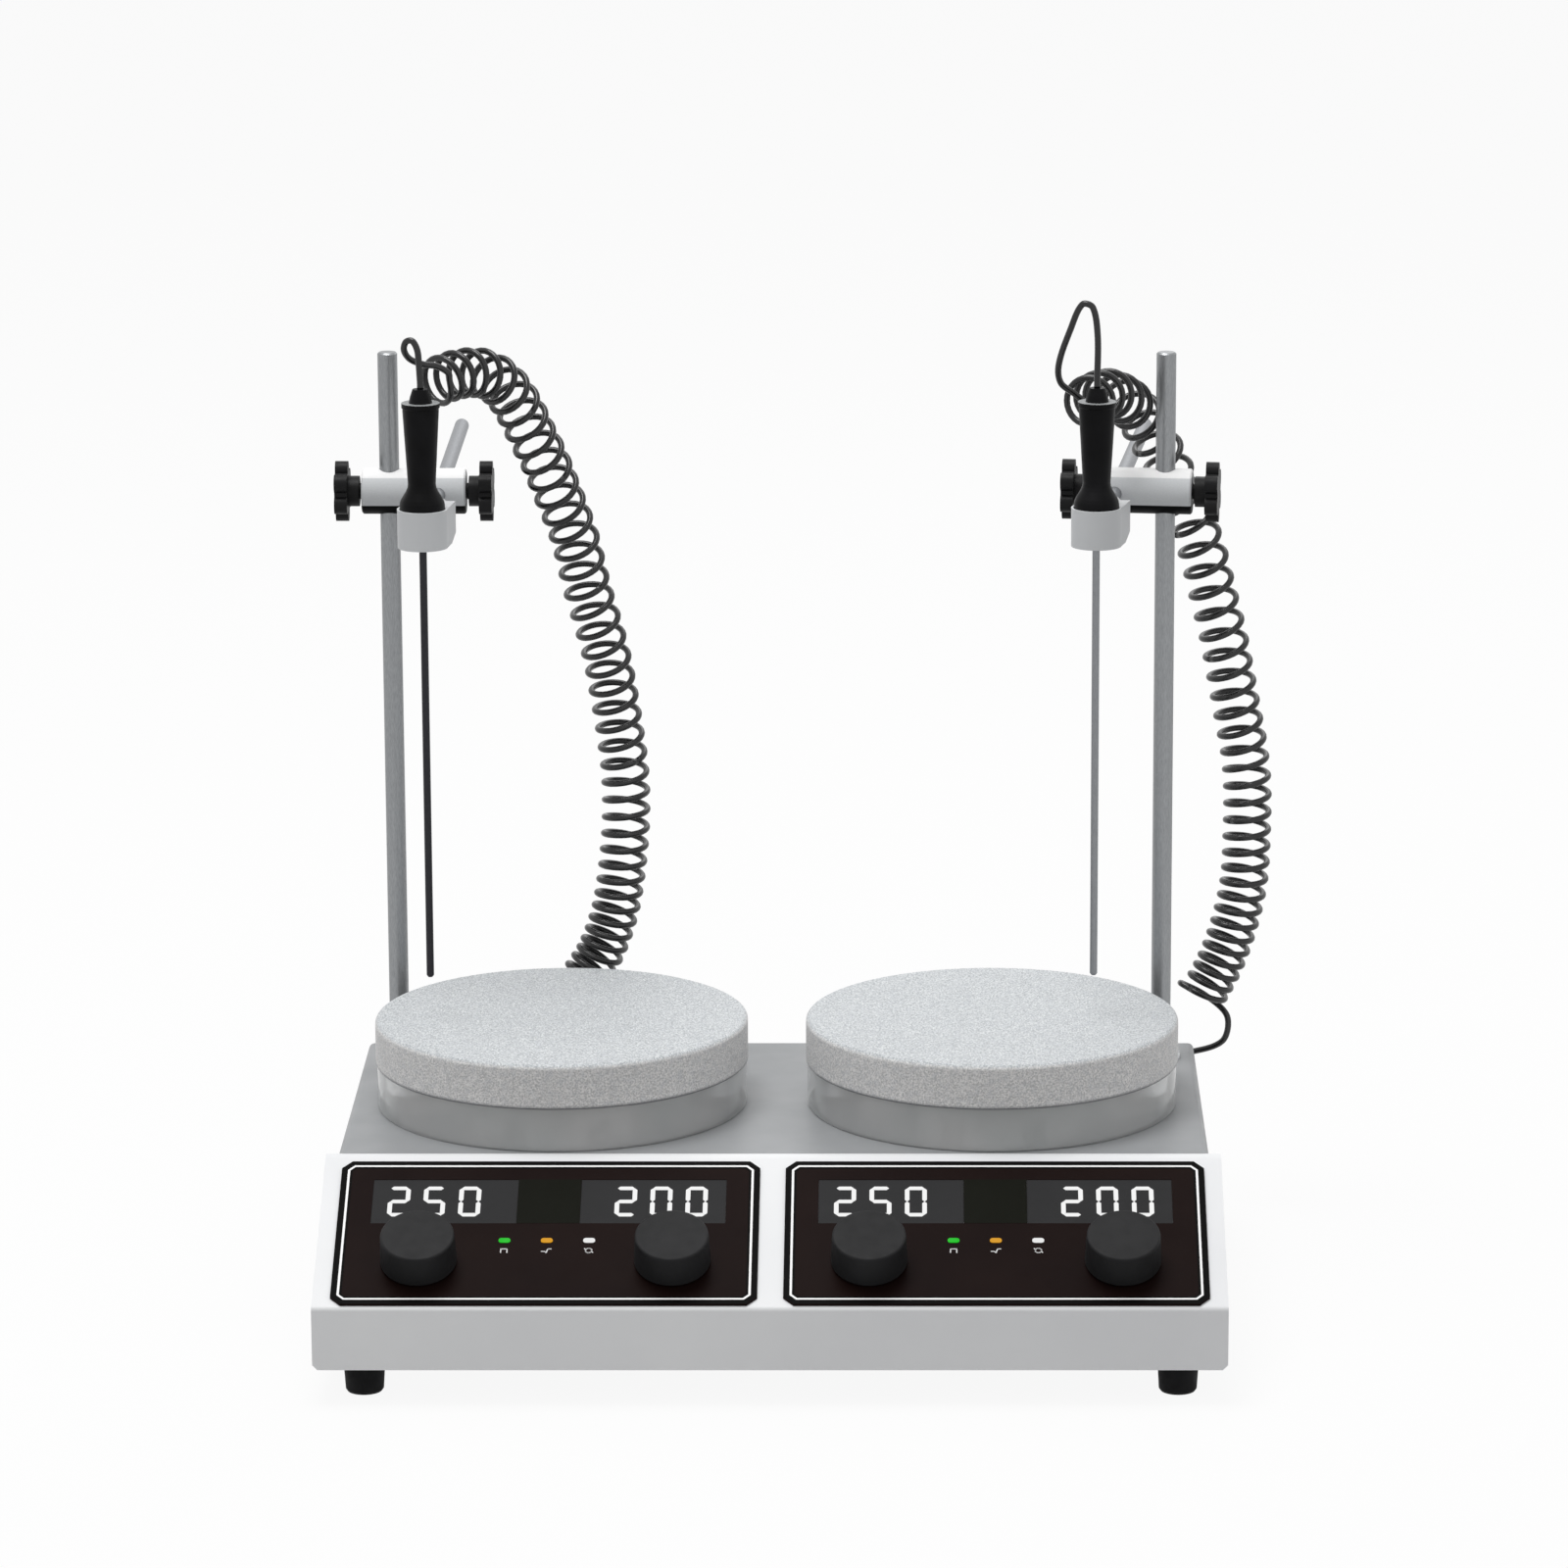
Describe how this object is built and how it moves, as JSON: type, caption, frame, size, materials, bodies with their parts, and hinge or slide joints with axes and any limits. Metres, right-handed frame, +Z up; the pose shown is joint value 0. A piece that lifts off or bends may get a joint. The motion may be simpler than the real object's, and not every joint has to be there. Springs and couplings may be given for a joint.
{
  "type": "heated magnetic stirrer",
  "caption": "Multi-position heated magnetic stirrer with sloping control panels, support rods, clamped temperature probes and coiled probe cords.",
  "frame": {"origin": "centre of the housing's footprint, on the plane that the feet rest on", "axes": "+X to the right as the user faces the control panels, +Y to the back, +Z up"},
  "size_m": [0.3832, 0.3676, 0.403],
  "materials": {
    "base_metal": "satin",
    "housing_metal": "satin",
    "deck_metal": "satin",
    "rear_metal": "satin",
    "foot_rubber": "matte",
    "screw_steel": "satin",
    "black_plastic": "matte",
    "inlet_brass": "satin",
    "rocker_plastic": "gloss",
    "socket_metal": "gloss",
    "panel_film": "satin",
    "window_plastic": "gloss",
    "digit_light": "satin",
    "led_green": "gloss",
    "led_amber": "gloss",
    "led_white": "gloss",
    "encoder_metal": "satin",
    "board_laminate": "satin",
    "knob_plastic": "satin",
    "plate_ceramic": "satin",
    "collar_glass": "gloss",
    "post_steel": "satin",
    "heater_metal": "satin",
    "insulation": "matte",
    "motor_paint": "satin",
    "bracket_steel": "satin",
    "yoke_steel": "satin",
    "magnet_iron": "satin",
    "rod_steel": "satin",
    "clamp_metal": "satin",
    "screw_plastic": "satin",
    "arm_steel": "satin",
    "holder_metal": "satin",
    "handle_plastic": "satin",
    "tube_dark": "satin",
    "tube_steel": "satin",
    "plug_plastic": "satin",
    "cord_rubber": "gloss"
  },
  "bodies": {
    "root": {"base_pan": "base_metal", "front_housing": "housing_metal", "top_deck": "deck_metal", "rear_panel": "rear_metal", "rubber_feet": "foot_rubber", "fasteners": "screw_steel", "power_inlet": "black_plastic", "inlet_pins": "inlet_brass", "switch_frame": "black_plastic", "sensor_sockets": "socket_metal", "control_panels": "panel_film", "display_windows": "window_plastic", "digit_segments": "digit_light", "led_green": "led_green", "led_amber": "led_amber", "led_white": "led_white", "encoders": "encoder_metal", "circuit_boards": "board_laminate", "hot_plate_left": "plate_ceramic", "hot_plate_right": "plate_ceramic", "plate_collars": "collar_glass", "plate_posts": "post_steel", "heater_elements": "heater_metal", "insulation_discs": "insulation", "drive_motors": "motor_paint", "motor_brackets": "bracket_steel", "rod_sockets": "socket_metal", "sensor_plug_left": "plug_plastic", "sensor_plug_right": "plug_plastic", "cord_coil_left": "cord_rubber", "cord_coil_right": "cord_rubber", "cord_tail_left": "cord_rubber", "cord_tail_right": "cord_rubber"},
    "power_switch": {"switch_rocker": "rocker_plastic"},
    "speed_knob_left": {"speed_knob_left": "knob_plastic"},
    "speed_knob_right": {"speed_knob_right": "knob_plastic"},
    "heat_knob_left": {"heat_knob_left": "knob_plastic"},
    "heat_knob_right": {"heat_knob_right": "knob_plastic"},
    "stirrer_left": {"magnet_rotor_left": "yoke_steel", "drive_magnets_left": "magnet_iron"},
    "rod_left": {"support_rod_left": "rod_steel"},
    "clamp_left": {"clamp_left": "clamp_metal"},
    "rod_screw_left": {"rod_screw_left": "screw_plastic"},
    "arm_screw_left": {"arm_screw_left": "screw_plastic"},
    "arm_left": {"cross_arm_left": "arm_steel"},
    "holder_left": {"probe_holder_left": "holder_metal"},
    "probe_left": {"probe_handle_left": "handle_plastic", "probe_tube_left": "tube_dark", "cord_lead_left": "cord_rubber"},
    "stirrer_right": {"magnet_rotor_right": "yoke_steel", "drive_magnets_right": "magnet_iron"},
    "rod_right": {"support_rod_right": "rod_steel"},
    "clamp_right": {"clamp_right": "clamp_metal"},
    "rod_screw_right": {"rod_screw_right": "screw_plastic"},
    "arm_screw_right": {"arm_screw_right": "screw_plastic"},
    "arm_right": {"cross_arm_right": "arm_steel"},
    "holder_right": {"probe_holder_right": "holder_metal"},
    "probe_right": {"probe_handle_right": "handle_plastic", "probe_tube_right": "tube_steel", "cord_lead_right": "cord_rubber"}
  },
  "joints": [
    {"name": "power_switch_tilt", "type": "hinge", "parent": "root", "child": "power_switch", "pos_m": [0.084, 0.1186, 0.0435], "axis": [-1, 0, 0], "range_deg": [0, 20]},
    {"name": "speed_turn_left", "type": "hinge", "parent": "root", "child": "speed_knob_left", "pos_m": [-0.136, -0.09825, 0.05034], "axis": [0, -0.4302, 0.9028], "continuous": true},
    {"name": "heat_turn_left", "type": "hinge", "parent": "root", "child": "heat_knob_left", "pos_m": [-0.038, -0.09825, 0.05034], "axis": [0, -0.4302, 0.9028], "continuous": true},
    {"name": "speed_turn_right", "type": "hinge", "parent": "root", "child": "speed_knob_right", "pos_m": [0.038, -0.09825, 0.05034], "axis": [0, -0.4302, 0.9028], "continuous": true},
    {"name": "heat_turn_right", "type": "hinge", "parent": "root", "child": "heat_knob_right", "pos_m": [0.136, -0.09825, 0.05034], "axis": [0, -0.4302, 0.9028], "continuous": true},
    {"name": "stirrer_spin_left", "type": "hinge", "parent": "root", "child": "stirrer_left", "pos_m": [-0.0867, 0.03632, 0.06], "axis": [0, 0, 1], "continuous": true},
    {"name": "stirrer_spin_right", "type": "hinge", "parent": "root", "child": "stirrer_right", "pos_m": [0.0867, 0.03632, 0.06], "axis": [0, 0, 1], "continuous": true},
    {"name": "rod_swing_left", "type": "hinge", "parent": "root", "child": "rod_left", "pos_m": [-0.157, 0.1, 0.06], "axis": [0, 0, 1], "range_deg": [-45, 60], "deforming": ["cord_coil_left", "cord_lead_left", "cord_tail_left"]},
    {"name": "clamp_slide_left", "type": "slide", "parent": "rod_left", "child": "clamp_left", "axis": [0, 0, 1], "range_m": [-0.012, 0.045], "deforming": ["cord_coil_left", "cord_lead_left"]},
    {"name": "rod_screw_turn_left", "type": "hinge", "parent": "clamp_left", "child": "rod_screw_left", "pos_m": [-0.157, 0.1, 0.315], "axis": [1, 0, 0], "range_deg": [0, 360]},
    {"name": "arm_screw_turn_left", "type": "hinge", "parent": "clamp_left", "child": "arm_screw_left", "pos_m": [-0.137, 0.1, 0.315], "axis": [1, 0, 0], "range_deg": [0, 360]},
    {"name": "arm_slide_left", "type": "slide", "parent": "clamp_left", "child": "arm_left", "axis": [0, 1, 0], "range_m": [-0.06, 0.03], "deforming": ["cord_coil_left", "cord_lead_left"]},
    {"name": "holder_roll_left", "type": "hinge", "parent": "arm_left", "child": "holder_left", "pos_m": [-0.137, 0.04, 0.315], "axis": [0, 1, 0], "range_deg": [-20, 20], "deforming": ["cord_coil_left", "cord_lead_left"]},
    {"name": "probe_lift_left", "type": "slide", "parent": "holder_left", "child": "probe_left", "axis": [0, 0, 1], "range_m": [0, 0.06], "deforming": ["cord_coil_left", "cord_lead_left"]},
    {"name": "rod_swing_right", "type": "hinge", "parent": "root", "child": "rod_right", "pos_m": [0.157, 0.1, 0.06], "axis": [0, 0, 1], "range_deg": [-60, 45], "deforming": ["cord_coil_right", "cord_lead_right", "cord_tail_right"]},
    {"name": "clamp_slide_right", "type": "slide", "parent": "rod_right", "child": "clamp_right", "axis": [0, 0, 1], "range_m": [-0.012, 0.045], "deforming": ["cord_coil_right", "cord_lead_right"]},
    {"name": "rod_screw_turn_right", "type": "hinge", "parent": "clamp_right", "child": "rod_screw_right", "pos_m": [0.157, 0.1, 0.315], "axis": [0.9936, -0.1132, 0], "range_deg": [0, 360]},
    {"name": "arm_screw_turn_right", "type": "hinge", "parent": "clamp_right", "child": "arm_screw_right", "pos_m": [0.13713, 0.10226, 0.315], "axis": [0.9936, -0.1132, 0], "range_deg": [0, 360]},
    {"name": "arm_slide_right", "type": "slide", "parent": "clamp_right", "child": "arm_right", "axis": [0.1132, 0.9936, 0], "range_m": [-0.06, 0.03], "deforming": ["cord_coil_right", "cord_lead_right"]},
    {"name": "holder_roll_right", "type": "hinge", "parent": "arm_right", "child": "holder_right", "pos_m": [0.13034, 0.04265, 0.315], "axis": [0.1132, 0.9936, 0], "range_deg": [-20, 20], "deforming": ["cord_coil_right", "cord_lead_right"]},
    {"name": "probe_lift_right", "type": "slide", "parent": "holder_right", "child": "probe_right", "axis": [0, 0, 1], "range_m": [0, 0.06], "deforming": ["cord_coil_right", "cord_lead_right"]}
  ]
}
